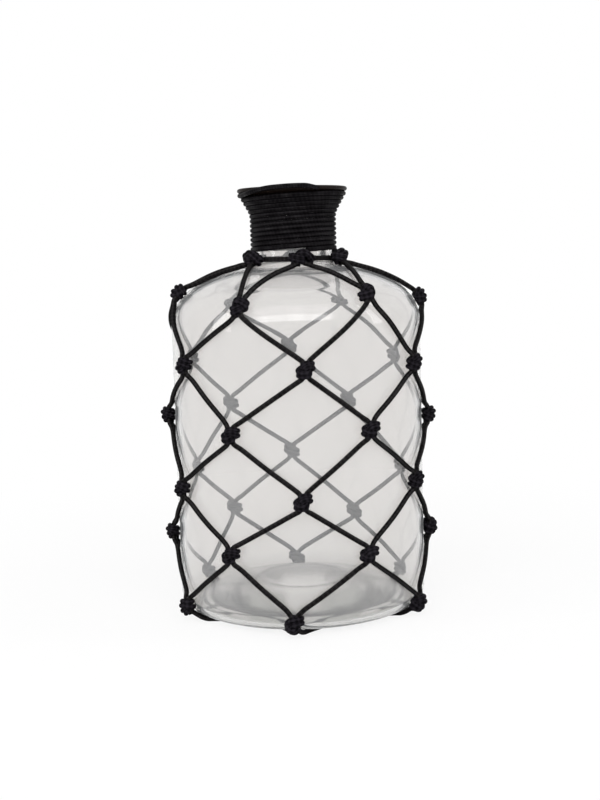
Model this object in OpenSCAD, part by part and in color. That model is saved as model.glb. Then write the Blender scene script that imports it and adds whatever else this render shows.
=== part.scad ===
// Clear glass bottle in a knotted cord net, with its neck and flared lip wound in the same cord.
// Millimetres, +Z up. The origin is on the bottle's axis, on the table that it stands on.
// A net cord or a knot is placed by a turn about the axis, 0 at the front (-Y) and 90 at +X,
// and by its way along the outside of the glass, from the shoulder down and in under the foot.

/* [Bottle] */
// Overall height, from the table to the top of the lip
bottle_h = 248.8; // [225:0.2:300]
// Outside diameter of the glass body
body_d = 147; // [135:1:165]
// Thickness of the glass wall
wall = 3; // [2:0.1:4]
// Thickness of the glass in the raised bottom
bottom_wall = 3.5; // [2.5:0.1:5]
// Height of the shoulder, the neck and the lip together
upper_h = 79.8; // [79:0.1:94]
// Radius of the shoulder's corner
shoulder_r = 27; // [16:0.5:30]
// Slope of the shoulder where its corner meets its dome, in degrees
shoulder_slope = 30; // [28:0.2:36]
// Radius of the shoulder's dome, seen from the side
dome_r = 90; // [80:1:160]
// Radius of the heel, between the side and the foot
heel_r = 7.5; // [6:0.1:9]
// Width of the foot that the bottle stands on, across its flat and its inner edge
foot_w = 7; // [5:0.5:9]
// Rounding of the foot's inner edge
foot_round = 3; // [2:0.1:4]
// Diameter of the flat disc in the middle of the raised bottom
disc_d = 54; // [40:1:64]
// Height of that disc above the foot
disc_rise = 10.7; // [9.5:0.1:14]

/* [Neck and lip] */
// Outside diameter of the glass neck
neck_d = 45.2; // [40:0.2:50]
// Radius of the curve between the shoulder and the neck
neck_fillet = 7; // [5.5:0.1:9]
// Height of the flare and the lip together
flare_h = 17.8; // [17:0.1:22]
// Radius of the bend from the neck into the flare
flare_bend_r = 13; // [12:0.5:16]
// Angle of the flare, away from upright
flare_angle = 29.5; // [26:0.5:36]
// Outside diameter of the lip
lip_d = 64.4; // [62:0.2:72]
// Height of the lip's rounded bead
lip_h = 2.5; // [2.2:0.1:3.5]
// Rounding of the lip's inner edge
mouth_round = 1; // [0.6:0.1:1.4]

/* [Cord] */
// Diameter of the cord
cord_d = 2.7; // [2.4:0.05:2.9]
// Clearance that the cord keeps from the glass and from other cords
cord_seat = 0.12; // [0.1:0.01:0.2]
// Diameter of the cord in the winding, where it is drawn tight
wound_d = 2.5; // [2.3:0.05:2.6]
// Step from one turn round the neck to the next, before it is evened out to end at the lip
turn_pitch = 2.75; // [2.7:0.05:3.1]
// Diameter of the cord in the turns of a knot, where it is drawn tight
tied_d = 2.4; // [2.3:0.05:2.5]
// How far the axes of the two strands stand off the glass in a knot
knot_lift = 3.8; // [3.5:0.05:4]
// Step between the three turns that make a knot
knot_pitch = 2.2; // [2.1:0.05:2.25]
// Slant of the turns that make a knot, in degrees
knot_slant = 17; // [12:1:20]
// Slant of the turns that make a knot on the ring at the neck, in degrees
ring_knot_slant = 10; // [6:1:14]

/* [Net] */
// Place of the highest row of knots, as an angle round the shoulder's corner
first_row_angle = 29.8; // [26:0.2:44]
// Place of the lowest row of knots, as an angle below level round the heel
last_row_angle = 10; // [5:1:20]
// Place of the ring of cord at the foot of the neck, as an angle round the neck's fillet
neck_ring_angle = 28; // [20:1:35]
// Radius of the ring of cord under the raised bottom
base_ring_r = 42; // [38:0.5:44]
// Length of the cord's ends past the ring under the bottom
tail_l = 5; // [3:0.5:8]

/* [Hidden] */
glass = "#dfe6e2";
cord_black = "#202124";
knot_black = "#2a2a30";
$fn = 48;
radian = 180 / PI;

// Cords
cord_r = cord_d / 2;
wound_r = wound_d / 2;
tied_r = tied_d / 2;
cord_flat = 0.1 * cord_d;
strand_gap = 0.3;
strand_side = cord_r + strand_gap / 2;
cords = 6;
cord_step = 360 / cords;
rows = 7;
strand_sides = 6;
// The cord clears the glass a little more between knots, where its short straight runs cut the corner
run_lift = cord_r + 0.3;
foot_lift = cord_r + cord_seat;

// Outside of the glass
shoulder_z = bottle_h - upper_h;
flare_z = bottle_h - flare_h;
body_r = body_d / 2;
neck_r = neck_d / 2;
foot_z = cord_d - cord_flat + cord_seat;
heel_c = [body_r - heel_r, foot_z + heel_r];
corner_c = [body_r - shoulder_r, shoulder_z];
corner_a = 90 - shoulder_slope;
dome_c = corner_c + (shoulder_r - dome_r) * [cos(corner_a), sin(corner_a)];
fillet_x = neck_r + neck_fillet - dome_c[0];
fillet_c = [neck_r + neck_fillet, dome_c[1] + sqrt(pow(dome_r + neck_fillet, 2) - pow(fillet_x, 2))];
dome_a = acos(fillet_x / (dome_r + neck_fillet));
flare_c = [neck_r + flare_bend_r, flare_z];
lip_r = lip_d / 2;
lip_under_z = bottle_h - lip_h;
bead_r = lip_h / 2;
bead_c = [lip_r - bead_r, lip_under_z + bead_r];
foot_in_r = heel_c[0] - foot_w + foot_round;

// The way along the outside of the glass, and where each stretch of it ends
dome_s = dome_r * (dome_a - corner_a) / radian;
corner_s = dome_s + shoulder_r * corner_a / radian;
side_s = corner_s + corner_c[1] - heel_c[1];
heel_s = side_s + heel_r * 90 / radian;

function polar(c, r, a) = c + r * [cos(a), sin(a)];
function unit(v) = v / norm(v);
function mix(a, b, t) = a + (b - a) * t;

// Angle above level at which the glass faces outwards, s along the way
function facing(s) =
    s < dome_s ? dome_a - s / dome_r * radian :
    s < corner_s ? corner_a - (s - dome_s) / shoulder_r * radian :
    s < side_s ? 0 :
    s < heel_s ? -(s - side_s) / heel_r * radian : -90;

// Radius and height of a point s along the way and lift off the glass
function off_glass(s, lift) =
    s < dome_s ? polar(dome_c, dome_r + lift, facing(s)) :
    s < corner_s ? polar(corner_c, shoulder_r + lift, facing(s)) :
    s < side_s ? [body_r + lift, corner_c[1] - (s - corner_s)] :
    s < heel_s ? polar(heel_c, heel_r + lift, facing(s)) :
    [heel_c[0] - (s - heel_s), foot_z - lift];

// A point at radius and height p, turned round the axis and moved sideways by x
function turned(p, turn, x = 0) =
    [p[0] * sin(turn) + x * cos(turn), -p[0] * cos(turn) + x * sin(turn), p[1]];

// Rings of the cord at the foot of the neck and under the bottom
neck_ring_c = polar(fillet_c, neck_fillet - foot_lift, 180 + neck_ring_angle);
strand_base_z = foot_z - foot_lift;
base_ring_c = [base_ring_r, strand_base_z + cord_d + cord_seat];

// Rows of knots: row 0 is on the ring at the neck, row 7 on the ring under the bottom
first_s = dome_s + shoulder_r * (corner_a - first_row_angle) / radian;
last_s = side_s + heel_r * last_row_angle / radian;
row_step = (last_s - first_s) / (rows - 2);
base_s = heel_s + heel_c[0] - base_ring_r;
ring_knot_tilt = 20;
ring_knot_top = 0.5;
ring_knot_lift = 2.6;
ring_knot_pitch = 2.5;
base_straight = 4.9;
knot_exit = 0.95;
run_start = 3;

// How each hand-tied knot lies off its even place: degrees round the bottle, and millimetres up
knot_drift = [
    [[8, 0], [7, 0], [4, 0], [0, 0], [2, 0], [6, 0]],
    [[3, 2], [-3, -2], [6, 0], [6, 0], [7, 5], [6, -1]],
    [[3, 1], [-1, 0], [4, -3], [4, 2], [3, 0], [6, 2]],
    [[0, 1], [-2, 1], [4, 1], [6, 2], [2, 4], [0, 1]],
    [[1, -2], [-1, 2], [0, -3], [4, 2], [2, 0], [-2, 1]],
    [[-1, 2], [-2, 3], [2, -3], [6, 3], [3, 4], [-1, 2]],
    [[-4, 0], [0, 0], [1, 0], [3, 0], [-4, 1], [-2, 0]],
    [[0, 0], [0, 0], [0, 0], [0, 0], [0, 0], [0, 0]]
];

function wrap(k) = (k + cords) % cords;
function knot_turn(row, k) =
    cord_step * (wrap(k) + (row % 2) / 2) + knot_drift[row][wrap(k)][0];
function knot_s(row, k) = first_s + (row - 1) * row_step - knot_drift[row][wrap(k)][1];

// A knot's place: radius and height of the cords' axes in it, the way that it faces, and its turn
function knot_at(row, k) =
    row == 0 ?
        [polar(neck_ring_c, cord_r + ring_knot_lift, ring_knot_tilt), ring_knot_tilt, knot_turn(row, k)] :
    row == rows ? [[base_ring_r, strand_base_z], -90, knot_turn(row, k)] :
    let (s = knot_s(row, k)) [off_glass(s, knot_lift), facing(s), knot_turn(row, k)];

// A point in a knot: x sideways, y down along the glass
function in_knot(knot, x, y) =
    let (a = knot[1]) turned(knot[0] + y * [sin(a), -cos(a)], knot[2], x);

// The outward direction of a point that faces a, turned round the axis
function outward(a, turn) = [cos(a) * sin(turn), -cos(a) * cos(turn), sin(a)];

// The turns that make a knot in each row: how many they are, their step, their cord and their slant
function turn_count(row) = row == 0 ? 2 : row == rows ? 1 : 3;
function turn_step(row) = row == 0 ? ring_knot_pitch : knot_pitch;
function turn_cord_r(row) = row == 0 || row == rows ? cord_r : tied_r;
function turn_slant(row) = row == 0 ? ring_knot_slant : row == rows ? 0 : knot_slant;

// How far both strands run side by side through a knot, below its middle (1) and above it (-1): out of
// its turns. On the ring at the neck they soon turn in over the ring.
function clear_of_turns(row) =
    let (a = turn_slant(row), half = (turn_count(row) - 1) / 2 * turn_step(row) + turn_cord_r(row))
    half / cos(a) + (strand_side + cord_r) * tan(a) + knot_exit;
function straight(row, side) =
    row == 0 && side < 0 ? ring_knot_top : row == rows ? base_straight : clear_of_turns(row);

// Where a knot's straight run ends, as a way along the glass and a turn, below (1) or above (-1) it
function run_end(row, k, x, side) =
    let (knot = knot_at(row, k),
         s = row == 0 ? run_start : row == rows ? base_s - straight(row, -1) :
             knot_s(row, k) + side * straight(row, side))
    [s, knot[2] + x / knot[0][0] * radian];

// Steps along the run from one row to the next, as shares of it. The one from the first row goes round
// the shoulder's corner, and the last one goes round the heel, at these angles and lifts.
heel_angles = [58, 72, 84, 96];
heel_lifts = [run_lift + 0.5, run_lift + 0.1, foot_lift, foot_lift];
function run_shares(row, s0, s1) =
    row == rows - 1 ? [for (a = heel_angles) (side_s + heel_r * a / radian - s0) / (s1 - s0)] :
    row == 1 ? [0.12, 0.3, 0.55, 0.8] :
    [0.2, 0.5, 0.8];

// Lift of the cord off the glass at step i of a run between two knots, a share t along it
function run_height(row, i, t) =
    row == rows - 1 ? heel_lifts[i] :
    mix(run_lift, knot_lift, pow(abs(2 * t - 1), 3));

// The knot that a strand of cord k passes through in a row, and the side of it on which it passes
function strand_knot(row, k, side) = row % 2 == 0 ? k : side > 0 ? k : k - 1;
function strand_x(row, side) = (row % 2 == 0 ? side : -side) * strand_side;

// Both ends of a strand's straight run through one knot
function through(row, k, side) =
    let (knot = knot_at(row, strand_knot(row, k, side)),
         x = strand_x(row, side),
         end = row == rows ? tail_l : 0,
         out = outward(knot[1], knot[2]))
    [[in_knot(knot, x, -straight(row, -1)), out], [in_knot(knot, x, straight(row, 1) + end), out]];

// The way along the glass at which the shoulder has a radius
function way_at_radius(r) =
    let (join_r = polar(dome_c, dome_r, corner_a)[0])
    r < join_r ? (dome_a - acos((r - dome_c[0]) / dome_r)) * dome_r / radian :
    dome_s + (corner_a - acos(min((r - corner_c[0]) / shoulder_r, 1))) * shoulder_r / radian;

// The share t of the run from p to q, each a way and a turn. On the shoulder the cord is drawn
// straight between its knots as seen from above, and on the side it takes the shortest way.
function on_run(row, p, q, t) =
    row > 0 ? [mix(p[0], q[0], t), mix(p[1], q[1], t)] :
    let (a = off_glass(p[0], 0)[0] * [sin(p[1]), cos(p[1])],
         b = off_glass(q[0], 0)[0] * [sin(q[1]), cos(q[1])],
         c = mix(a, b, t))
    [way_at_radius(norm(c)), near(atan2(c[0], c[1]), p[1])];

// The same direction as turn, written within half a turn of another
function near(turn, other) = turn - 360 * round((turn - other) / 360);

// Points of the run from one row to the next, each with the direction in which the cord lies off the glass
function run(row, k0, x0, k1, x1) =
    let (p = run_end(row, k0, x0, 1),
         end = run_end(row + 1, k1, x1, -1),
         q = [end[0], near(end[1], p[1])],
         shares = run_shares(row, p[0], q[0]))
    [for (i = [0 : len(shares) - 1])
        let (t = shares[i], at = on_run(row, p, q, t))
        [turned(off_glass(at[0], run_height(row, i, t)), at[1]), outward(facing(at[0]), at[1])]];

// One strand, from the ring at the neck to its end under the bottom
function strand(k, side) = [
    for (row = [0 : rows])
        each concat(
            through(row, k, side),
            row == rows ? [] :
            run(row, strand_knot(row, k, side), strand_x(row, side),
                strand_knot(row + 1, k, side), strand_x(row + 1, side))
        )
];

// The bight in which a cord is doubled over the ring at the neck. It rests on the ring at this angle.
bight_rest = 50;
bight_c = polar(neck_ring_c, cord_d + 1.5 * cord_seat, bight_rest);
function bight(k) =
    [for (a = [35 : 55 : 145])
        let (r = bight_c[0] + strand_side * (1 - sin(a)))
        [turned([r, bight_c[1]], knot_turn(0, k), -strand_side * cos(a)), [0, 0, 1]]];

function backwards(list) = [for (i = [len(list) - 1 : -1 : 0]) list[i]];
function net_route(k) = concat(backwards(strand(k, -1)), bight(k), strand(k, 1));

// One ring of points round a cord, mitred where the cord bends. Nothing goes below the table.
function cord_ring(before, here, after, out, r, sides, first) =
    let (d0 = unit(here - before), d1 = unit(after - here),
         t = unit(d0 + d1),
         n = unit(out - (out * t) * t),
         b = cross(t, n),
         bend = norm(d1 - d0) < 0.001 ? n : unit(d1 - d0),
         stretch = min(1 / max(norm(d0 + d1) / 2, 0.5), 1.6) - 1)
    [for (i = [0 : sides - 1])
        let (a = first + i * 360 / sides,
             p = r * (cos(a) * n + sin(a) * b),
             q = here + p + stretch * (p * bend) * bend)
        [q[0], q[1], max(q[2], 0)]];

// A round cord along a route of points, each with its outward direction
module cord_along(route, r, sides, first) {
    n = len(route);
    points = [for (i = [0 : n - 1])
        let (here = route[i][0],
             before = i > 0 ? route[i - 1][0] : 2 * here - route[1][0],
             after = i < n - 1 ? route[i + 1][0] : 2 * here - route[n - 2][0])
        each cord_ring(before, here, after, route[i][1], r, sides, first)];
    side_faces = [for (i = [0 : n - 2], j = [0 : sides - 1])
        let (a = i * sides + j, b = i * sides + (j + 1) % sides)
        each [[a, a + sides, b], [b, a + sides, b + sides]]];
    first_end = [for (j = [1 : sides - 2]) [0, j, j + 1]];
    last_end = [for (j = [1 : sides - 2]) [(n - 1) * sides, (n - 1) * sides + j + 1, (n - 1) * sides + j]];
    polyhedron(points, concat(side_faces, first_end, last_end), convexity = 10);
}

// Outline of the glass from mid height up, grown by g: 0 is the outside, -wall the inside
module upper_outline(g) {
    corner_end = polar(corner_c, shoulder_r + g, corner_a);
    dome_end = polar(dome_c, dome_r + g, dome_a);
    bend_end = polar(flare_c, flare_bend_r - g, 180 - flare_angle);
    cone_top = [bend_end[0] + (lip_under_z - bend_end[1]) * tan(flare_angle), lip_under_z];
    mid_z = shoulder_z / 2;
    polygon([[0, mid_z], [body_r + g, mid_z], [body_r + g, shoulder_z], corner_end, [0, corner_end[1]]]);
    translate(corner_c) circle(shoulder_r + g);
    intersection() {
        translate(dome_c) circle(dome_r + g);
        translate([0, shoulder_z]) square([corner_end[0], flare_z - shoulder_z]);
    }
    difference() {
        polygon([[0, dome_end[1]], dome_end, fillet_c, [0, fillet_c[1]]]);
        translate(fillet_c) circle(neck_fillet - g);
    }
    translate([0, shoulder_z]) square([neck_r + g, flare_z - shoulder_z]);
    difference() {
        polygon([[0, flare_z], flare_c, bend_end, [0, bend_end[1]]]);
        translate(flare_c) circle(flare_bend_r - g);
    }
    polygon([[0, bend_end[1]], bend_end, cone_top, [0, lip_under_z]]);
}

// The inside of the mouth at a height, along the flare's inner face
function mouth_r(z) =
    let (p = polar(flare_c, flare_bend_r + wall, 180 - flare_angle))
    p[0] + (z - p[1]) * tan(flare_angle);

// The opening through the lip, with its rounded inner edge
module mouth_outline() {
    round_z = bottle_h - mouth_round;
    touch_z = round_z + mouth_round * sin(flare_angle);
    touch = [mouth_r(touch_z), touch_z];
    round_c = touch + mouth_round * [cos(flare_angle), -sin(flare_angle)];
    polygon([
        [0, lip_under_z], [mouth_r(lip_under_z), lip_under_z],
        touch, [touch[0], bottle_h + 1], [0, bottle_h + 1]
    ]);
    difference() {
        polygon([touch, round_c, [round_c[0], bottle_h + 1], [touch[0] - 0.01, bottle_h + 1]]);
        translate(round_c) circle(mouth_round);
    }
}

// The rounded bead that finishes the lip
module lip_outline() {
    translate([0, lip_under_z]) square([bead_c[0], lip_h]);
    translate(bead_c) circle(bead_r);
}

// The side, the heel and the foot below mid height
module lower_outline() {
    mid_z = shoulder_z / 2;
    polygon([[0, foot_z], [heel_c[0], foot_z], [body_r, heel_c[1]], [body_r, mid_z], [0, mid_z]]);
    translate(heel_c) circle(heel_r);
}

// The hollow under the raised bottom
module hollow_outline() {
    rib_r = foot_in_r - foot_round;
    difference() {
        polygon([
            [0, foot_z - 1], [foot_in_r, foot_z - 1], [foot_in_r, foot_z + foot_round],
            [rib_r, foot_z + foot_round], [disc_d / 2, foot_z + disc_rise], [0, foot_z + disc_rise]
        ]);
        translate([foot_in_r, foot_z + foot_round]) circle(foot_round);
    }
}

// The inside of the body below mid height
module lower_inside() {
    rib_r = foot_in_r - foot_round;
    floor_z = foot_z + wall;
    polygon([
        [0, foot_z + disc_rise + bottom_wall], [disc_d / 2, foot_z + disc_rise + bottom_wall],
        [rib_r, foot_z + foot_round + bottom_wall], [heel_c[0] - 1, floor_z], [heel_c[0], floor_z],
        [body_r - wall, heel_c[1]], [body_r - wall, shoulder_z / 2], [0, shoulder_z / 2]
    ]);
    translate(heel_c) circle(heel_r - wall);
}

// The bottle, blown in one piece: raised bottom, straight side, domed shoulder, neck and flared lip
module glass_bottle() {
    color(glass, 0.4)
        rotate_extrude()
            difference() {
                union() {
                    lower_outline();
                    upper_outline(0);
                    lip_outline();
                }
                lower_inside();
                upper_outline(-wall);
                mouth_outline();
                hollow_outline();
            }
}

// The cord wound round the neck and the flare is one length. Each turn lies level round the back and
// climbs to the next across the front, so that the last lies against the lip. Its axis follows the glass
// upright, round the flare's bend and up the flare, u being the way along it.
turn_rings = 24;
winding_lift = wound_r + cord_seat + lip_r * (1 - cos(180 / turn_rings));
winding_r = neck_r + winding_lift;
winding_bend_r = flare_bend_r - winding_lift;
winding_low_z = bight_c[1] + cord_r + wound_r + cord_seat;
bend_u = flare_z - winding_low_z;
cone_u = bend_u + winding_bend_r * flare_angle / radian;
cone_start = polar(flare_c, winding_bend_r, 180 - flare_angle);
winding_top_z = lip_under_z - wound_r - cord_seat;
winding_u = cone_u + (winding_top_z - cone_start[1]) / cos(flare_angle);
// Where its lower and its upper end lie, as turns about the axis, and half of the angle of its climb
winding_start = 18;
winding_end = 30;
climb_half_angle = 85;
// How far round the lip's bead its upper end goes before it climbs over it, and then over it, in degrees
bead_edge_angle = 35;
bead_over_angle = 80;
bead_dip_angle = 18;

// A smooth step from 0 to 1
function eased(t) = let (c = min(max(t, 0), 1)) c * c * (3 - 2 * c);

// How many turns up the cord is, at a turn about the axis that counts on past 360
function climbed(turn) =
    let (n = floor((turn + 180) / 360))
    n + eased((turn - 360 * n + climb_half_angle) / (2 * climb_half_angle));
turns = round(winding_u / turn_pitch + climbed(winding_start));
even_pitch = winding_u / (turns - climbed(winding_start));

function winding_at(u) =
    u < bend_u ? [[winding_r, winding_low_z + u], 0] :
    u < cone_u ? let (a = (u - bend_u) / winding_bend_r * radian)
        [polar(flare_c, winding_bend_r, 180 - a), -a] :
    [cone_start + (u - cone_u) * [sin(flare_angle), cos(flare_angle)], -flare_angle];

// The upper end, which goes out round the bead of the lip and comes to lie over its edge
function end_at(turn) =
    let (out = eased(turn / climb_half_angle + 1),
         over = eased(turn / winding_start),
         dip = eased((turn - winding_start) / (winding_end - winding_start)),
         a = -90 + bead_edge_angle * out + bead_over_angle * over - bead_dip_angle * dip,
         gap = mix(cord_seat, 3 * cord_seat, out))
    [polar(bead_c, bead_r + wound_r + gap, a), max(a, -flare_angle)];

function winding_route() =
    let (step = 360 / turn_rings, last = turns * 360 - climb_half_angle)
    concat(
        [for (turn = [winding_start : step : last])
            let (w = winding_at(even_pitch * (climbed(turn) - climbed(winding_start))))
            [turned(w[0], turn), outward(w[1], turn)]],
        [for (turn = [each [-72 : 12 : -12], each [0 : 6 : winding_end]])
            let (w = end_at(turn))
            [turned(w[0], turn), outward(w[1], turn)]]
    );

// Least gap between two neighbouring turns, measured on the cord's points a turn apart
module echo_winding_gap(route) {
    rings = [for (i = [1 : len(route) - 2])
        cord_ring(route[i - 1][0], route[i][0], route[i + 1][0], route[i][1], wound_r, 6, 0)];
    gaps = [for (i = [0 : len(rings) - turn_rings / 2], j = [i + turn_rings / 2 : len(rings) - 1])
        if (norm(route[i + 1][0] - route[j + 1][0]) < 2 * wound_d)
            min([for (a = rings[i], b = rings[j]) norm(a - b)])];
    echo(least_winding_gap_mm = min(gaps), turns = turns - climbed(winding_start), pitch = even_pitch);
}

module neck_binding() {
    route = winding_route();
    echo_winding_gap(route);
    color(cord_black) cord_along(route, wound_r, 6, 0);
}

// The ring of cord from which the net hangs, lying in the curve at the foot of the neck
module neck_ring() {
    color(cord_black)
        rotate_extrude() translate(neck_ring_c) circle(cord_r);
}

// The ring of cord that draws the net together in the hollow under the bottom
module base_ring() {
    color(cord_black)
        rotate_extrude() translate(base_ring_c) circle(cord_r);
}

// One net cord, doubled over the ring at the neck: both its strands run down to the bottom
module net_cord(k) {
    color(cord_black) cord_along(net_route(k), cord_r, strand_sides, 180 / strand_sides);
}

// Moves a knot from the origin, facing +Z with its cords along Y, to its place on the bottle
module place_knot(knot) {
    rotate([0, 0, knot[2]])
        translate([0, -knot[0][0], knot[0][1]])
            rotate([90 - knot[1], 0, 0])
                children();
}

// One turn of a knot's cord round both strands: two half rings and two straight runs
function turn_r(row) =
    (cord_r + turn_cord_r(row) + cord_seat) / cos(turn_slant(row)) + strand_side * (1 - cos(turn_slant(row)));
module knot_loop(row) {
    r = turn_r(row);
    loop_r = turn_cord_r(row);
    rotate([90, 0, 0]) {
        for (side = [0, 180])
            rotate([0, 0, side])
                translate([strand_side, 0, 0])
                    rotate([0, 0, -90]) rotate_extrude(angle = 180) translate([r, 0]) circle(loop_r);
        for (z = [-r, r])
            translate([-strand_side, z, 0])
                rotate([0, 90, 0]) cylinder(r = loop_r, h = 2 * strand_side);
    }
}

// A knot that ties two strands: slanting turns drawn tight on them, and flat on what lies lift below
module slanting_turns(row, lift) {
    slant = turn_slant(row);
    last = (turn_count(row) - 1) / 2;
    intersection() {
        for (step = [-last : last])
            translate([0, step * turn_step(row) / cos(slant), 0])
                rotate([0, 0, slant]) knot_loop(row);
        above(cord_seat - lift);
    }
}

// All the space round a knot above a height
module above(z) {
    translate([-10 * cord_d, -10 * cord_d, z]) cube(20 * cord_d);
}

module knots(row) {
    color(knot_black)
        for (k = [0 : cords - 1]) place_knot(knot_at(row, k)) slanting_turns(row, knot_lift);
}

// On the ring at the neck the turns are open behind, where both strands turn in over the ring, and the
// winding presses on them from above
module ring_knots() {
    channel_w = 2 * (strand_side + cord_r + cord_seat);
    color(knot_black)
        difference() {
            for (k = [0 : cords - 1])
                place_knot(knot_at(0, k))
                    difference() {
                        slanting_turns(0, ring_knot_lift);
                        translate([-channel_w / 2, -10 * cord_d, -ring_knot_lift])
                            cube([channel_w, 20 * cord_d, ring_knot_lift]);
                    }
            translate([0, 0, winding_low_z - wound_r - cord_seat])
                cylinder(r = winding_r + wound_r + cord_seat, h = 10 * cord_d);
        }
}

// Under the bottom, one turn on each side of the ring holds both strands against it
module base_knots() {
    ring_gap = cord_d + 4 * cord_seat;
    color(knot_black)
        for (k = [0 : cords - 1], side = [-1, 1])
            rotate([0, 0, knot_turn(rows, k)])
                translate([0, side * ring_gap - base_ring_r, strand_base_z])
                    intersection() {
                        knot_loop(rows);
                        above(cord_seat - strand_base_z);
                    }
}

glass_bottle();
neck_binding();
neck_ring();
base_ring();
net_cord(0);  // net_cord_1
net_cord(1);  // net_cord_2
net_cord(2);  // net_cord_3
net_cord(3);  // net_cord_4
net_cord(4);  // net_cord_5
net_cord(5);  // net_cord_6
ring_knots();
knots(1);  // knots_row_1
knots(2);  // knots_row_2
knots(3);  // knots_row_3
knots(4);  // knots_row_4
knots(5);  // knots_row_5
knots(6);  // heel_knots
base_knots();
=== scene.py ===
from math import acos, atan2, cos, degrees, floor, pi, radians, sin, sqrt, tan

import bmesh
import bpy
import numpy as np
from mathutils import Matrix, Vector


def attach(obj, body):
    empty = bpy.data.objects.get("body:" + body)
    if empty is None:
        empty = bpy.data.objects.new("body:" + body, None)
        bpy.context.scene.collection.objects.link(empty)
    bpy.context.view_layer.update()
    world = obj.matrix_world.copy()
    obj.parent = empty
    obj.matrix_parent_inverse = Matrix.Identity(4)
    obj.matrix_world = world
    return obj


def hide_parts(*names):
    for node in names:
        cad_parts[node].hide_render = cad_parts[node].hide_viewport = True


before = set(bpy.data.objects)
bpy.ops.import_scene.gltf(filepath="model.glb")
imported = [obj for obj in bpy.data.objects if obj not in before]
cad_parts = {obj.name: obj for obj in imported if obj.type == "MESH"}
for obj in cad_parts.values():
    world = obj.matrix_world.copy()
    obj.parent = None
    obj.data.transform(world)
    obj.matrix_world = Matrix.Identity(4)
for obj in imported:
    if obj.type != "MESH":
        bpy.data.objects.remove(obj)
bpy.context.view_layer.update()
scene = bpy.context.scene
MM = 0.001


# The camera stands where the photographer stood: 0.74 m in front of the bottle, level with the foot of
# its neck, tipped a little down and not quite straight in the hand.
camera_place = (0.00118, -0.7358, 0.2155)
camera_tip, camera_roll = radians(7.13), radians(1.65)
camera = bpy.data.objects.new("camera", bpy.data.cameras.new("camera"))
camera.data.lens, camera.data.sensor_width = 55.76, 36
camera.data.clip_start, camera.data.clip_end = 0.05, 30
camera.matrix_world = (
    Matrix.Translation(camera_place)
    @ Matrix.Rotation(pi / 2 - camera_tip, 4, "X")
    @ Matrix.Rotation(-camera_roll, 4, "Z")
)
scene.collection.objects.link(camera)
scene.camera = camera
scene.view_settings.view_transform = "Standard"


class Value:
    """What comes out of a node. Python's operators on it add Math nodes to the same material."""

    def __init__(self, tree, socket):
        self.tree, self.socket = tree, socket

    def maths(self, operation, *inputs):
        return add_node(self.tree, "ShaderNodeMath", {"operation": operation}, dict(enumerate(inputs)))

    def __add__(self, other):
        return self.maths("ADD", self, other)

    def __sub__(self, other):
        return self.maths("SUBTRACT", self, other)

    def __rsub__(self, other):
        return self.maths("SUBTRACT", other, self)

    def __mul__(self, other):
        return self.maths("MULTIPLY", self, other)

    def __truediv__(self, other):
        return self.maths("DIVIDE", self, other)

    def __pow__(self, other):
        return self.maths("POWER", self, other)

    __radd__, __rmul__ = __add__, __mul__

    def part(self, name):
        """Another output of the same node."""
        return Value(self.tree, self.socket.node.outputs[name])

    def between(self, low, high):
        """0 below low and 1 above high, with soft ends."""
        return add_node(
            self.tree,
            "ShaderNodeMapRange",
            {"interpolation_type": "SMOOTHSTEP"},
            {"Value": self, "From Min": low, "From Max": high},
        )


def add_node(tree, kind, settings={}, sockets={}):
    node = tree.nodes.new(kind)
    for name, value in settings.items():
        setattr(node, name, value)
    for name, value in sockets.items():
        if isinstance(value, Value):
            tree.links.new(value.socket, node.inputs[name])
        else:
            node.inputs[name].default_value = value
    return Value(tree, node.outputs[0]) if node.outputs else None


def blend_colours(factor, first, second):
    tree = factor.tree
    node = tree.nodes.new("ShaderNodeMix")
    node.data_type = "RGBA"
    for socket, value in zip((node.inputs[0], node.inputs[6], node.inputs[7]), (factor, first, second)):
        if isinstance(value, Value):
            tree.links.new(value.socket, socket)
        else:
            socket.default_value = (*value, 1)
    return Value(tree, node.outputs[2])


def new_finish(name):
    finish = bpy.data.materials.new(name)
    finish.use_nodes = True
    finish.node_tree.nodes.clear()
    return finish, finish.node_tree


def place_in_scene(piece, slot, *nodes):
    """The finished piece rides on the bottle and stands for its solids."""
    scene.collection.objects.link(piece)
    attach(piece, "root")
    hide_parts(*nodes)


# The bottle is blown in clear soda glass in one piece: a raised bottom, a straight side, a domed shoulder
# and a short neck that flares to a rounded lip. The glass is a little grey, and greenest in its thick foot.
BODY_R, WALL, BOTTOM_WALL = 73.5, 3, 3.5
SHOULDER_Z, SHOULDER_R, SHOULDER_SLOPE, DOME_R = 169, 27, 30, 90
HEEL_R, FOOT_Z, FOOT_W, FOOT_ROUND = 9.5, 2.55, 5, 3
DISC_R, DISC_RISE = 27, 10.7
NECK_R, NECK_FILLET, FLARE_Z, FLARE_BEND_R, FLARE_ANGLE = 22.6, 7, 231, 13, 29.5
LIP_R, LIP_H, BOTTLE_H, MOUTH_ROUND = 32.2, 2.5, 248.8, 1


def polar(centre, r, angle):
    return Vector((centre[0] + r * cos(radians(angle)), centre[1] + r * sin(radians(angle))))


heel_c = Vector((BODY_R - HEEL_R, FOOT_Z + HEEL_R))
corner_c = Vector((BODY_R - SHOULDER_R, SHOULDER_Z))
corner_a = 90 - SHOULDER_SLOPE
dome_c = polar(corner_c, SHOULDER_R - DOME_R, corner_a)
fillet_x = NECK_R + NECK_FILLET - dome_c[0]
fillet_c = Vector((NECK_R + NECK_FILLET, dome_c[1] + sqrt((DOME_R + NECK_FILLET) ** 2 - fillet_x**2)))
dome_a = degrees(acos(fillet_x / (DOME_R + NECK_FILLET)))
flare_c = Vector((NECK_R + FLARE_BEND_R, FLARE_Z))
lip_under_z = BOTTLE_H - LIP_H


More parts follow.
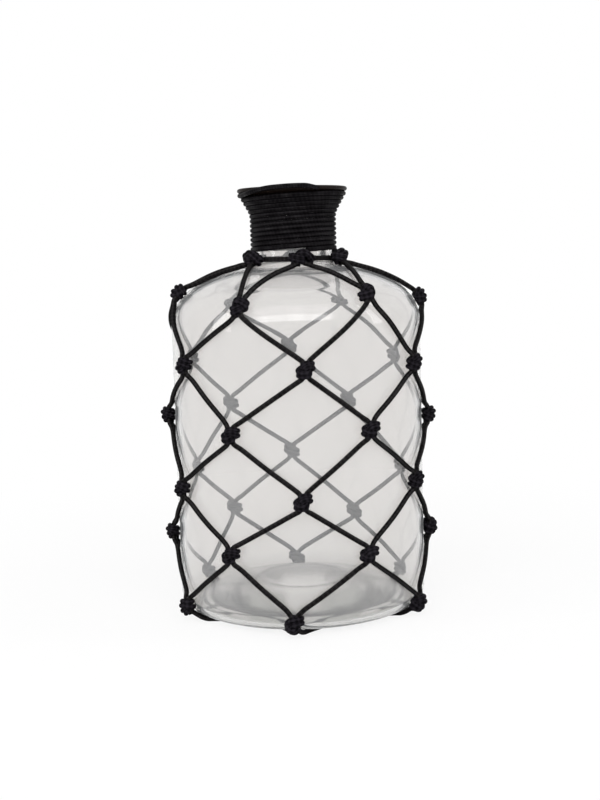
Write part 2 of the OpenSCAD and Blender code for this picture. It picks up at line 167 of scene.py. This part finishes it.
def arc(centre, r, start, end, steps):
    return [polar(centre, r, start + (end - start) * i / steps) for i in range(steps + 1)]


def flare_reach(wall, z):
    """Radius of the flare's straight cone at a height, wall inside its outer face."""
    p = polar(flare_c, FLARE_BEND_R + wall, 180 - FLARE_ANGLE)
    return p[0] + (z - p[1]) * tan(radians(FLARE_ANGLE))


foot_in_r = heel_c[0] - FOOT_W + FOOT_ROUND
rib_r = foot_in_r - FOOT_ROUND
bead_r = LIP_H / 2
mouth_c = Vector((flare_reach(WALL, BOTTLE_H - MOUTH_ROUND) + MOUTH_ROUND / cos(radians(FLARE_ANGLE)),
                  BOTTLE_H - MOUTH_ROUND))
outside = (
    [Vector((0, FOOT_Z + DISC_RISE)), Vector((DISC_R - 3, FOOT_Z + DISC_RISE)),
     Vector((DISC_R - 0.6, FOOT_Z + DISC_RISE - 0.25)), Vector((DISC_R + 1.5, FOOT_Z + DISC_RISE - 0.8))]
    + [Vector((DISC_R + 1.5 + (rib_r - DISC_R - 1.5) * t,
               FOOT_Z + DISC_RISE - 0.8 + (FOOT_ROUND - DISC_RISE + 0.8) * t)) for t in (0.3, 0.6, 0.9)]
    + arc((foot_in_r, FOOT_Z + FOOT_ROUND), FOOT_ROUND, 180, 270, 6)
    + arc(heel_c, HEEL_R, -90, 0, 12)
    + [Vector((BODY_R, z)) for z in (30, 60, 90, 120, 150)]
    + arc(corner_c, SHOULDER_R, 0, corner_a, 16)
    + arc(dome_c, DOME_R, corner_a, dome_a, 12)[1:]
    + arc(fillet_c, NECK_FILLET, 180 + dome_a, 180, 8)[1:]
    + arc(flare_c, FLARE_BEND_R, 180, 180 - FLARE_ANGLE, 10)
    + [Vector((flare_reach(0, lip_under_z), lip_under_z))]
    + arc((LIP_R - bead_r, lip_under_z + bead_r), bead_r, -90, 90, 10)
)
inside = (
    arc(mouth_c, MOUTH_ROUND, 90, 180 - FLARE_ANGLE, 5)
    + arc(flare_c, FLARE_BEND_R + WALL, 180 - FLARE_ANGLE, 180, 10)
    + arc(fillet_c, NECK_FILLET + WALL, 180, 180 + dome_a, 8)
    + arc(dome_c, DOME_R - WALL, dome_a, corner_a, 12)[1:]
    + arc(corner_c, SHOULDER_R - WALL, corner_a, 0, 16)[1:]
    + [Vector((BODY_R - WALL, z)) for z in (150, 120, 90, 60, 30)]
    + arc(heel_c, HEEL_R - WALL, 0, -90, 8)
    + [Vector((rib_r + 2, FOOT_Z + FOOT_ROUND + 1.2)), Vector((rib_r, FOOT_Z + FOOT_ROUND + BOTTOM_WALL - 0.8))]
    + [Vector((rib_r + (DISC_R - rib_r) * t, FOOT_Z + FOOT_ROUND + BOTTOM_WALL + (DISC_RISE - FOOT_ROUND) * t))
       for t in (0.15, 0.5, 0.85)]
    + [Vector((DISC_R, FOOT_Z + DISC_RISE + BOTTOM_WALL - 0.1)),
       Vector((DISC_R - 3, FOOT_Z + DISC_RISE + BOTTOM_WALL)), Vector((0, FOOT_Z + DISC_RISE + BOTTOM_WALL))]
)
bm = bmesh.new()
outline = [bm.verts.new((p[0] * MM, 0, p[1] * MM)) for p in outside + inside]
edges = [bm.edges.new(pair) for pair in zip(outline, outline[1:])]
bmesh.ops.spin(bm, geom=outline + edges, axis=(0, 0, 1), cent=(0, 0, 0), angle=2 * pi, steps=240, use_merge=True)
bmesh.ops.remove_doubles(bm, verts=bm.verts, dist=1e-6)
bmesh.ops.recalc_face_normals(bm, faces=bm.faces)
for face in bm.faces:
    face.smooth = True
blown = bpy.data.meshes.new("blown_glass")
bm.to_mesh(blown)
bm.free()

clear_glass, tree = new_finish("clear_glass")
at = add_node(tree, "ShaderNodeTexCoord").part("Object")
place = add_node(tree, "ShaderNodeSeparateXYZ", {}, {0: at})
height = place.part("Z")
off_middle = place.part("X").maths("ABSOLUTE", place.part("X"))
flat = add_node(tree, "ShaderNodeVectorMath", {"operation": "MULTIPLY"}, {0: at, 1: (1, 1, 0)})
from_axis = add_node(tree, "ShaderNodeVectorMath", {"operation": "LENGTH"}, {0: flat}).part("Value")
pressed = height.between(0.026, 0.02) * from_axis.between(0.067, 0.062)
foot_tint = height.between(0.016, 0.002) * 0.6
# Painted shade: two patches on the camera's side of the bottom, left and right of the middle, are tinted darker; this
# shade goes into the bottom's tint along with the real tint of the thick glass.
front_shade = off_middle.between(0.007, 0.013) * off_middle.between(0.036, 0.028) * place.part("Y").between(0, -0.02)
seeds = add_node(tree, "ShaderNodeTexNoise", {}, {"Vector": at, "Scale": 14, "Detail": 2})
ripple = add_node(tree, "ShaderNodeBump", {}, {"Strength": 0.05, "Distance": 0.0005, "Height": seeds})
uneven = add_node(tree, "ShaderNodeTexNoise", {}, {"Vector": at, "Scale": 38, "Detail": 1}).between(0.4, 0.65)
pressed_tint_and_front_shade = pressed * from_axis.between(0.026, 0.04) * (uneven * 0.2 + 0.35 + front_shade * 0.6)
thick_and_front_shade = foot_tint.maths("MAXIMUM", foot_tint, pressed_tint_and_front_shade)
body_tint = blend_colours(thick_and_front_shade, (0.895, 0.876, 0.86), (0.5, 0.505, 0.475))
clear = add_node(tree, "ShaderNodeBsdfPrincipled", {}, {
    "Base Color": body_tint, "Roughness": pressed * 0.16, "IOR": 1.46, "Transmission Weight": 1.0, "Normal": ripple})
haze = add_node(tree, "ShaderNodeBsdfDiffuse", {}, {"Color": (0.84, 0.86, 0.88, 1)})
dust = add_node(tree, "ShaderNodeTexNoise", {}, {"Vector": at, "Scale": 30, "Detail": 4}) * 0.06 + 0.065
body = add_node(tree, "ShaderNodeMixShader", {}, {0: dust, 1: clear, 2: haze})
# Above a height of about 243 mm the glass is drawn as an opaque, dark brown, glossy surface, so the lip shows as a
# dark band.
dark_lip_band = add_node(tree, "ShaderNodeBsdfPrincipled", {}, {
    "Base Color": (0.009, 0.006, 0.005, 1), "Roughness": 0.4, "Specular IOR Level": 0.05})
add_node(tree, "ShaderNodeOutputMaterial", {}, {
    "Surface": add_node(tree, "ShaderNodeMixShader", {}, {0: height.between(0.2425, 0.2435), 1: body, 2: dark_lip_band})})
blown.materials.append(clear_glass)
bottle = bpy.data.objects.new("glass_body", blown)
place_in_scene(bottle, "clear_glass", "glass_bottle")


# All the cord is one kind: round, waxed and black, with a fine braid. Wound or straight it has a soft
# sheen; drawn tight in a knot it is a shade bluer and rougher.
CORD_R, CORD_SEEN_R = 1.35, 1.42
BRAID_STEP = 4.4


def braided_finish(name, dark, light, shine, waxed=0):
    finish, tree = new_finish(name)
    along = add_node(tree, "ShaderNodeUVMap", {"uv_map": "braid"})
    parts = add_node(tree, "ShaderNodeSeparateXYZ", {}, {0: along})
    length, around = parts.part("X") / BRAID_STEP, parts.part("Y")
    turns = 2 * pi
    right = ((length + around * 2) * turns).maths("SINE", (length + around * 2) * turns)
    left = ((length - around * 2) * turns).maths("SINE", (length - around * 2) * turns)
    plait = (right * left) * 0.5 + 0.5
    at = add_node(tree, "ShaderNodeTexCoord").part("Object")
    wear = add_node(tree, "ShaderNodeTexNoise", {}, {"Vector": at, "Scale": 160, "Detail": 3}).between(0.35, 0.75)
    # Painted shade and painted highlight: the colour runs from dark in the braid's grooves to light on its crests,
    # following the bump, with random wear mixed in.
    braid_shade_and_wear = blend_colours(plait.between(0.15, 0.85) * 0.7 + wear * 0.3, dark, light)
    bump = add_node(tree, "ShaderNodeBump", {}, {"Strength": 0.9, "Distance": 0.0002, "Height": plait + wear * 0.5})
    surface = add_node(tree, "ShaderNodeBsdfPrincipled", {}, {
        "Base Color": braid_shade_and_wear, "Roughness": shine + wear * 0.12, "Specular IOR Level": 0.02, "Normal": bump,
        "Coat Weight": wear * waxed, "Coat Roughness": 0.25, "Coat IOR": 1.3})
    add_node(tree, "ShaderNodeOutputMaterial", {}, {"Surface": surface})
    return finish


waxed_cord = braided_finish("waxed_cord", (0.002, 0.0018, 0.0019), (0.0205, 0.019, 0.0195), 0.6)
tied_cord = braided_finish("tied_cord", (0.0017, 0.0014, 0.002), (0.0185, 0.0165, 0.0205), 0.65)
# Painted shade: the cord of the winding is the same cord, given darker colours than the net so that the winding looks
# shaded.
wound_cord_shaded = braided_finish("wound_cord_shaded", (0.0013, 0.0011, 0.0014), (0.011, 0.0098, 0.0112), 0.6, 0.25)


def smoothed(route, passes=2, closed=False):
    """The route with its corners cut, as a stiff cord rounds them."""
    for _ in range(passes):
        pairs = list(zip(route, route[1:] + route[:1])) if closed else list(zip(route, route[1:]))
        cut = [p for a, b in pairs for p in (a.lerp(b, 0.25), a.lerp(b, 0.75))]
        route = cut if closed else [route[0]] + cut[1:-1] + [route[-1]]
    return route


def cord_piece(name, routes, finish, slot, *nodes, closed=False, r=CORD_SEEN_R):
    """Round cord along each route, in millimetres, with its own length on the braid's map. It is pressed
    flat where it lies between the foot and the table."""
    line = bpy.data.curves.new(name, "CURVE")
    line.dimensions, line.bevel_depth, line.bevel_resolution = "3D", r * MM, 4
    line.use_fill_caps = not closed
    for route in routes:
        spline = line.splines.new("POLY")
        spline.points.add(len(route) - 1)
        spline.use_cyclic_u = closed
        for point, place in zip(spline.points, route):
            point.co = (*(place * MM), 1)
    holder = bpy.data.objects.new(name, line)
    scene.collection.objects.link(holder)
    bpy.context.view_layer.update()
    mesh = bpy.data.meshes.new_from_object(holder.evaluated_get(bpy.context.evaluated_depsgraph_get()))
    bpy.data.objects.remove(holder)
    length = sum((b - a).length for a, b in zip(routes[0], routes[0][1:]))
    braid = mesh.uv_layers[0] if mesh.uv_layers else mesh.uv_layers.new()
    braid.name = "braid"
    for corner in braid.data:
        corner.uv = (corner.uv[0] * length, corner.uv[1])
    for face in mesh.polygons:
        face.use_smooth = True
    for corner in mesh.vertices:
        corner.co.z = max(corner.co.z, 0)
    mesh.materials.clear()
    mesh.materials.append(finish)
    piece = bpy.data.objects.new(name, mesh)
    place_in_scene(piece, slot, *nodes)
    return piece


def turned(p, turn, x=0):
    """A point at radius and height p, turned round the axis and moved sideways by x."""
    t = radians(turn)
    return Vector((p[0] * sin(t) + x * cos(t), -p[0] * cos(t) + x * sin(t), p[1]))


# The net is six cords, each doubled over a ring of cord at the foot of the neck. Its twelve strands run
# down the bottle, meet in alternate pairs in every row of knots, and pass in under the foot.
SEAT = 0.12
STRAND_SIDE = CORD_R + 0.15
RUN_LIFT, FOOT_LIFT, RING_KNOT_LIFT = CORD_R + 0.15, CORD_R + SEAT, 2.6
KNOT_LIFTS = [3.4, 2.9, 3.6, 3.7, 3.6, 3.6, 3.2]
CORDS, ROWS = 6, 7
BASE_RING_R, TAIL = 42, 5
FIRST_ROW_ANGLE, LAST_ROW_ANGLE, NECK_RING_ANGLE, RING_KNOT_TILT = 29.8, 20, 28, 20
KNOT_DRIFT = [
    [(8, 0), (7, 0), (4, 0), (0, 0), (2, 0), (6, 0)],
    [(4.6, 4.6), (-3.3, -0.5), (6, 0), (6, 0), (11, 6.2), (5.5, -1)],
    [(3.5, 0.8), (-1, 0), (4, -3), (4, 2), (3, 0), (4.8, 2)],
    [(1, 1), (-2, 0), (4, 1), (6, 2), (2, 4), (1, 0)],
    [(1, -1.5), (-1, 2.5), (0, -3), (4, 2), (2, 0), (-1, 0.5)],
    [(-1, 1.5), (-2, 1.5), (2, -3), (6, 3), (3, 3), (-1, 2.3)],
    [(-4, 0.9), (0, 0.5), (1, 0), (3, 0), (-4, 1), (-1, 1.4)],
    [(0, 0)] * 6,
]
dome_s = DOME_R * radians(dome_a - corner_a)
corner_s = dome_s + SHOULDER_R * radians(corner_a)
side_s = corner_s + corner_c[1] - heel_c[1]
heel_s = side_s + HEEL_R * pi / 2
first_s = dome_s + SHOULDER_R * radians(corner_a - FIRST_ROW_ANGLE)
last_s = side_s + HEEL_R * radians(LAST_ROW_ANGLE)
row_step = (last_s - first_s) / (ROWS - 2)
base_s = heel_s + heel_c[0] - BASE_RING_R
neck_ring_c = polar(fillet_c, NECK_FILLET - FOOT_LIFT, 180 + NECK_RING_ANGLE)
strand_base_z = FOOT_Z - FOOT_LIFT


def facing(s):
    """Angle above level at which the glass faces outwards, s along the way down it."""
    if s < dome_s:
        return dome_a - degrees(s / DOME_R)
    if s < corner_s:
        return corner_a - degrees((s - dome_s) / SHOULDER_R)
    if s < side_s:
        return 0
    return -degrees((s - side_s) / HEEL_R) if s < heel_s else -90


def off_glass(s, lift):
    if s < dome_s:
        return polar(dome_c, DOME_R + lift, facing(s))
    if s < corner_s:
        return polar(corner_c, SHOULDER_R + lift, facing(s))
    if s < side_s:
        return Vector((BODY_R + lift, corner_c[1] - (s - corner_s)))
    if s < heel_s:
        return polar(heel_c, HEEL_R + lift, facing(s))
    return Vector((heel_c[0] - (s - heel_s), FOOT_Z - lift))


def knot_turn(row, k):
    return 60 * (k % CORDS + row % 2 / 2) + KNOT_DRIFT[row][k % CORDS][0]


def knot_s(row, k):
    return first_s + (row - 1) * row_step - KNOT_DRIFT[row][k % CORDS][1]


def knot_at(row, k):
    """Radius and height of a knot, the way it faces, and its turn round the bottle."""
    if row == 0:
        return polar(neck_ring_c, CORD_R + RING_KNOT_LIFT, 0), RING_KNOT_TILT, knot_turn(row, k)
    if row == ROWS:
        return Vector((BASE_RING_R, strand_base_z)), -90, knot_turn(row, k)
    s = knot_s(row, k)
    return off_glass(s, KNOT_LIFTS[row]), facing(s), knot_turn(row, k)


def in_knot(knot, x, y):
    a = radians(knot[1])
    return turned(knot[0] + y * Vector((sin(a), -cos(a))), knot[2], x)


def straight(row, side):
    if row == 0:
        return 0.5 if side < 0 else 2.8
    if row == ROWS - 1 and side > 0:
        return 2
    return 4.9 if row == ROWS else 4.6


def run_end(row, k, x, side):
    knot = knot_at(row, k)
    s = 3 if row == 0 else base_s - straight(row, -1) if row == ROWS else knot_s(row, k) + side * straight(row, side)
    return s, knot[2] + degrees(x / knot[0][0])


def way_at_radius(r):
    join_r = polar(dome_c, DOME_R, corner_a)[0]
    if r < join_r:
        return radians(dome_a - degrees(acos((r - dome_c[0]) / DOME_R))) * DOME_R
    return dome_s + radians(corner_a - degrees(acos(min((r - corner_c[0]) / SHOULDER_R, 1)))) * SHOULDER_R


def run_height(row, t):
    if row == ROWS - 1:
        return FOOT_LIFT + 0.1 + (KNOT_LIFTS[row] - FOOT_LIFT) * max(1 - 7 * t, 0) ** 2 - 0.1 * t
    return RUN_LIFT + (KNOT_LIFTS[row + (t > 0.5)] - RUN_LIFT) * abs(2 * t - 1) ** 7


def knot_of(row, k, side):
    return k if row % 2 == 0 or side > 0 else k - 1


def side_in_knot(row, side):
    return (side if row % 2 == 0 else -side) * STRAND_SIDE


def strand(k, side):
    route = []
    for row in range(ROWS + 1):
        knot, x = knot_at(row, knot_of(row, k, side)), side_in_knot(row, side)
        end = TAIL if row == ROWS else 0
        low, high = -straight(row, -1), straight(row, 1) + end
        route += [in_knot(knot, x, low + (high - low) * i / 4) for i in range(5)]
        if row == ROWS:
            break
        s0, turn0 = run_end(row, knot_of(row, k, side), x, 1)
        s1, turn1 = run_end(row + 1, knot_of(row + 1, k, side), side_in_knot(row + 1, side), -1)
        turn1 -= 360 * round((turn1 - turn0) / 360)
        steps = 24 if row == ROWS - 1 else 12
        for i in range(1, steps):
            t = i / steps
            bend = t if row < ROWS - 1 else t**2.5 if side < 0 else t**2
            s, turn = s0 + (s1 - s0) * t, turn0 + (turn1 - turn0) * bend
            if row == 0:
                a, b = off_glass(s0, 0)[0], off_glass(s1, 0)[0]
                first = Vector((a * sin(radians(turn0)), a * cos(radians(turn0))))
                last = Vector((b * sin(radians(turn1)), b * cos(radians(turn1))))
                here = first.lerp(last, t)
                s, turn = way_at_radius(here.length), degrees(atan2(here[0], here[1]))
            route.append(turned(off_glass(s, run_height(row, t)), turn))
    return route


bight_c = polar(neck_ring_c, 2 * CORD_R + 1.5 * SEAT, 50)


def bight(k):
    """The loop in which a cord is doubled over the ring."""
    return [turned((bight_c[0] + STRAND_SIDE * (1 - sin(radians(a))), bight_c[1]), knot_turn(0, k),
                   -STRAND_SIDE * cos(radians(a))) for a in range(15, 166, 25)]


for k in range(CORDS):
    route = strand(k, -1)[::-1] + bight(k) + strand(k, 1)
    cord_piece(f"net_cord_{k + 1}_braided", [smoothed(route)], waxed_cord, "black_cord", f"net_cord_{k + 1}")


# Each knot is an overhand knot tied in both its strands at once and pulled down hard by hand. It is laid
# out here as an open knot, and its two strands are then drawn through it until it is tight.
TIED_CORD, TIED_CORD_R, TIED_SIDE = 2.1, 1.34, 1.4


def open_knot(step=1.3):
    """Both strands of an open overhand knot, from top to bottom, as points one step apart."""
    t = np.linspace(-2.02, 2.02, 400)[:, None]
    line = np.hstack([8 * (t**3 - 3 * t), -1.7 * (t**5 - 10 * t), 5 * (t**4 - 4 * t**2) + 10])
    share = np.linspace(0, 1, 60)[:, None]
    above, below = line[0] * (0, 1, 0) + (0, 10, 0), line[-1] * (0, 1, 0) - (0, 10, 0)
    line = np.vstack([(above + (line[0] - above) * share)[:-1], line, (line[-1] + (below - line[-1]) * share)[1:]])
    for _ in range(60):
        line[1:-1] = 0.5 * line[1:-1] + 0.25 * (line[:-2] + line[2:])
    way = np.append(0, np.cumsum(np.linalg.norm(np.diff(line, axis=0), axis=1)))
    line = np.stack([np.interp(np.linspace(0, way[-1], int(way[-1] / step)), way, c) for c in line.T], 1)
    ahead = np.gradient(line, axis=0)
    ahead /= np.linalg.norm(ahead, axis=1)[:, None]
    side, sides = np.array([1.0, 0, 0]), []
    for a in ahead:
        side = side - a * (side @ a)
        side /= np.linalg.norm(side)
        sides.append(side)
    sides = np.array(sides)
    across = np.cross(ahead, sides)
    twist = np.arctan2(across[-1][0], sides[-1][0]) * np.linspace(0, 1, len(line))[:, None]
    sides = sides * np.cos(twist) + across * np.sin(twist)
    return np.stack([line - TIED_SIDE * sides, line + TIED_SIDE * sides])


def drawn_tight(strands, shorter=0.0008, rounds=4000):
    """The strands shortened bit by bit between their ends, and kept a cord apart wherever they touch."""
    count = strands.shape[1]
    step = np.linalg.norm(np.diff(strands, axis=1), axis=2).mean()
    top, bottom = strands[0, 0, 1], strands[0, -1, 1]
    first, second = np.triu_indices(2 * count, 1)
    same, apart = first // count == second // count, second - first
    for turn in range(rounds):
        step *= 1 - shorter
        points = strands.reshape(-1, 3)
        if turn % 8 == 0:
            close = ((points[second] - points[first]) ** 2).sum(1) < (1.8 * TIED_CORD) ** 2
            close &= ~same | (apart > np.ceil(1.2 * TIED_CORD / step))
            one, other = first[close], second[close]
        for side, x in ((0, -TIED_SIDE), (1, TIED_SIDE)):
            for i in range(3):
                strands[side, i], strands[side, -1 - i] = (x, top - i * step, 0), (x, bottom + i * step, 0)
        for _ in range(8):
            for start in (0, 1):
                a, b = strands[:, start:-1:2], strands[:, start + 1::2]
                long = np.linalg.norm(b - a, axis=2, keepdims=True)
                move = 0.5 * (long - step) / long * (b - a)
                a += move
                b -= move
            points = strands.reshape(-1, 3)
            gap = points[other] - points[one]
            long = np.sqrt((gap**2).sum(1))
            touch = long < TIED_CORD
            i, j = one[touch], other[touch]
            push = (0.5 * (TIED_CORD - long[touch]) / np.maximum(long[touch], 1e-6))[:, None] * gap[touch]
            moved, pushes = np.zeros_like(points), np.ones(len(points))
            np.add.at(moved, i, -push)
            np.add.at(moved, j, push)
            np.add.at(pushes, np.append(i, j), 1)
            strands = (points + moved / np.maximum(pushes - 1, 1)[:, None] * 1.5).reshape(2, count, 3)
        strands[:, 1:-1] += 0.06 * (0.5 * (strands[:, :-2] + strands[:, 2:]) - strands[:, 1:-1])
        if np.linalg.norm(np.diff(strands, axis=1), axis=2).mean() > 1.25 * step:
            break
    return strands


tight_knot = drawn_tight(open_knot()) * (-1, 1, -1)
TIED_SUNK = 0.5


def knot_frame(knot):
    """The middle of a knot and its directions sideways, up along the glass and out from it."""
    a, t = radians(knot[1]), radians(knot[2])
    out = Vector((cos(a) * sin(t), -cos(a) * cos(t), sin(a)))
    sideways = Vector((cos(t), sin(t), 0))
    return turned(knot[0], knot[2]), sideways, out.cross(sideways), out


def tied(knot, lean, roll, squash, lift):
    """The tight knot's two strands in place, leant over, rolled on the glass and pressed down on it. Its
    turns lie closest at its sides."""
    middle, sideways, up, out = knot_frame(knot)
    turn = Matrix.Rotation(radians(lean), 3, "Z") @ Matrix.Rotation(radians(roll), 3, "Y")
    routes = []
    for strand_points in tight_knot:
        route = []
        for x, y, z in strand_points[np.abs(strand_points[:, 1]) < 4.4]:
            narrow = 1 - 0.22 * (x / 4.4) ** 2
            x, y, z = turn @ Vector((x * squash[0], y * squash[1] * narrow, z * squash[2] * narrow))
            route.append(middle + sideways * x + up * y + out * max(z - TIED_SUNK, TIED_CORD_R + 0.1 - lift))
        routes.append(route)
    return routes


def knot_row(name, row, node):
    """One row of tied knots. The highest row and above all the one on the heel are tied fatter."""
    routes, fat = [], {1: 1.07, ROWS - 1: 1.12}.get(row, 1.03)
    for k in range(CORDS):
        lean = 6 + ((k * 7 + row * 5) % 11 - 5) * 1.6
        roll = ((k * 5 + row * 3) % 7 - 3) * 4
        routes += tied(knot_at(row, k), lean, roll, (1.03, 1.08 * fat, 1.14 * fat), KNOT_LIFTS[row])
    cord_piece(name, routes, tied_cord, "knotted_cord", node, r=TIED_CORD_R * fat)


for row in range(1, ROWS - 1):
    knot_row(f"knots_row_{row}_tied", row, f"knots_row_{row}")
knot_row("heel_knots_tied", ROWS - 1, "heel_knots")
ring_ties = []
for k in range(CORDS):
    ring_ties += tied(knot_at(0, k), -12 + (k * 7 % 5 - 2) * 3, 0, (1.5, 1.12, 1.4), RING_KNOT_LIFT)
cord_piece("ring_knots_tied", ring_ties, tied_cord, "knotted_cord", "ring_knots", r=TIED_CORD_R)


# A ring of the same cord lies in the curve at the foot of the neck and carries the net. Another, hidden
# in the hollow under the bottom, gathers the strands, with one turn of cord on each side of it.
def ring_route(r, z, steps=96):
    return [turned((r, z), 360 * i / steps) for i in range(steps)]


cord_piece("neck_ring_cord", [ring_route(*neck_ring_c)], waxed_cord, "black_cord", "neck_ring", closed=True)
base_ring_z = strand_base_z + 2 * CORD_R + SEAT
cord_piece("base_ring_cord", [ring_route(BASE_RING_R, base_ring_z)], waxed_cord, "black_cord", "base_ring",
           closed=True)


def loop_round_strands(knot, high):
    """One closed turn of cord round both strands of a knot, no higher than high off the glass."""
    middle, sideways, up, out = knot_frame(knot)
    r, route = 2 * CORD_R + SEAT, []
    for a in (2 * pi * i / 28 for i in range(28)):
        x = STRAND_SIDE * max(min(cos(a) * 3, 1), -1) + r * cos(a)
        route.append(middle + sideways * x + out * min(r * sin(a), high))
    return smoothed(route, 1, closed=True)


under = []
for k in range(CORDS):
    for side in (-1, 1):
        knot = knot_at(ROWS, k)
        moved = (knot[0] + Vector((side * (2 * CORD_R + 4 * SEAT), 0)), knot[1], knot[2])
        under.append(loop_round_strands(moved, 0.15))
cord_piece("base_knots_tied", under, tied_cord, "knotted_cord", "base_knots", closed=True)


# The neck and the flare are wound in one length of the cord, drawn tight. Each turn lies level round the
# back and climbs across the front, and the last one ends over the lip.
WOUND_R, TURN_PITCH, TURN_RINGS = 1.37, 2.75, 48
WINDING_START, WINDING_END, CLIMB_HALF_ANGLE = 18, 26, 85
winding_lift = WOUND_R + SEAT
winding_r, winding_bend_r = NECK_R + winding_lift, FLARE_BEND_R - winding_lift
winding_low_z = bight_c[1] + CORD_R + WOUND_R + SEAT
bend_u = FLARE_Z - winding_low_z
cone_u = bend_u + winding_bend_r * radians(FLARE_ANGLE)
cone_start = polar(flare_c, winding_bend_r, 180 - FLARE_ANGLE)
winding_top_z = lip_under_z - WOUND_R - SEAT
winding_u = cone_u + (winding_top_z - cone_start[1]) / cos(radians(FLARE_ANGLE))


def eased(t):
    c = min(max(t, 0), 1)
    return c * c * (3 - 2 * c)


def climbed(turn):
    """How many turns up the cord is, at a turn about the axis that counts on past 360."""
    n = floor((turn + 180) / 360)
    return n + eased((turn - 360 * n + CLIMB_HALF_ANGLE) / (2 * CLIMB_HALF_ANGLE))


def winding_at(u):
    if u < bend_u:
        return Vector((winding_r, winding_low_z + u))
    if u < cone_u:
        return polar(flare_c, winding_bend_r, 180 - degrees((u - bend_u) / winding_bend_r))
    slope = radians(FLARE_ANGLE)
    return cone_start + (u - cone_u) * Vector((sin(slope), cos(slope)))


def over_lip(turn):
    """The upper end, which goes out round the bead of the lip and comes to lie along its edge."""
    out, over, down = eased((turn + 80) / 60), eased((turn + 40) / 45), eased((turn - 12) / 14)
    around = -90 + 92 * out + 20 * over - 30 * down
    return polar((LIP_R - bead_r, lip_under_z + bead_r), bead_r + WOUND_R + SEAT * (1 + out), around)


turn_count = round(winding_u / TURN_PITCH + climbed(WINDING_START))
even_pitch = winding_u / (turn_count - climbed(WINDING_START))
wound, turn = [], WINDING_START
while turn <= turn_count * 360 - CLIMB_HALF_ANGLE:
    wound.append(turned(winding_at(even_pitch * (climbed(turn) - climbed(WINDING_START))), turn))
    turn += 360 / TURN_RINGS
wound += [turned(over_lip(turn), turn) for turn in range(-82, WINDING_END + 1, 4)]
cord_piece("neck_binding_cord", [smoothed(wound, 1)], wound_cord_shaded, "black_cord", "neck_binding", r=WOUND_R)


# The stage: a white floor that keeps the bottle's soft shadow, a white room, and the window-like lamps
# whose soft reflections lie on the shoulder.
bm = bmesh.new()
bmesh.ops.create_circle(bm, cap_ends=True, segments=96, radius=12)
floor_mesh = bpy.data.meshes.new("floor")
bm.to_mesh(floor_mesh)
bm.free()
white_floor, tree = new_finish("white_floor")
place = add_node(tree, "ShaderNodeTexCoord").part("Object")
away = add_node(tree, "ShaderNodeVectorMath", {"operation": "LENGTH"}, {0: place}).part("Value")
rays = add_node(tree, "ShaderNodeLightPath")
seen = rays.part("Is Camera Ray").maths("MAXIMUM", rays.part("Is Camera Ray"), rays.part("Is Glossy Ray"))
seen = seen.maths("MAXIMUM", seen, rays.part("Is Transmission Ray"))
paper = add_node(tree, "ShaderNodeBsdfDiffuse", {}, {"Color": (0.85, 0.85, 0.85, 1)})
white = add_node(tree, "ShaderNodeEmission", {}, {"Color": (1, 1, 1, 1), "Strength": 1.0})
fade = seen * (away.between(0.1, 0.45) * 0.14 + 0.86)
add_node(tree, "ShaderNodeOutputMaterial", {}, {
    "Surface": add_node(tree, "ShaderNodeMixShader", {}, {0: fade, 1: paper, 2: white})})
floor_mesh.materials.append(white_floor)
floor = bpy.data.objects.new("floor", floor_mesh)
scene.collection.objects.link(floor)

room = bpy.data.worlds.new("room")
scene.world = room
room.use_nodes = True
tree = room.node_tree
tree.nodes.clear()
rays = add_node(tree, "ShaderNodeLightPath")
straight_on = rays.part("Is Camera Ray").maths("MAXIMUM", rays.part("Is Camera Ray"), rays.part("Is Transmission Ray"))
mirrored = rays.part("Is Glossy Ray") * (straight_on * -1 + 1)
brightness = straight_on * 0.45 + mirrored * 0.3 + 0.55
sky = add_node(tree, "ShaderNodeBackground", {}, {"Color": (1, 1, 1, 1), "Strength": brightness})
add_node(tree, "ShaderNodeOutputWorld", {}, {"Surface": sky})


def lamp(name, place, width, height, power):
    """A soft lamp that faces the bottle. It shows in reflections, but not to the camera or through glass."""
    light = bpy.data.lights.new(name, "AREA")
    light.shape, light.size, light.size_y, light.energy = "RECTANGLE", width, height, power
    holder = bpy.data.objects.new(name, light)
    holder.location = place
    holder.rotation_euler = (Vector((0, 0, 0.15)) - Vector(place)).to_track_quat("-Z", "Y").to_euler()
    holder.visible_camera = holder.visible_transmission = False
    scene.collection.objects.link(holder)
    return light


window = lamp("window", (0.02, -1.04, 1.23), 2.3, 1.35, 50)
window.use_nodes = True
tree = window.node_tree
tree.nodes.clear()
pane = add_node(tree, "ShaderNodeSeparateXYZ", {}, {0: add_node(tree, "ShaderNodeNewGeometry").part("Parametric")})
across, up = pane.part("X"), pane.part("Y")
edges = across.between(0, 0.12) * across.between(1, 0.75) * up.between(0, 0.07) * up.between(1, 0.55)
bars = add_node(tree, "ShaderNodeTexNoise", {"noise_dimensions": "1D"}, {"W": across, "Scale": 9, "Detail": 3})
glow = edges * (0.4 + up.between(0.4, 0.3) * 0.78) * (bars.between(0.3, 0.7) * 0.5 + 0.7)
add_node(tree, "ShaderNodeOutputLight", {}, {
    "Surface": add_node(tree, "ShaderNodeEmission", {}, {"Color": (1, 1, 1, 1), "Strength": glow})})
lamp("left_lamp", (-1.3, -0.5, 0.6), 0.5, 0.9, 6)
lamp("right_lamp", (1.2, -0.2, 0.7), 0.4, 0.9, 4)
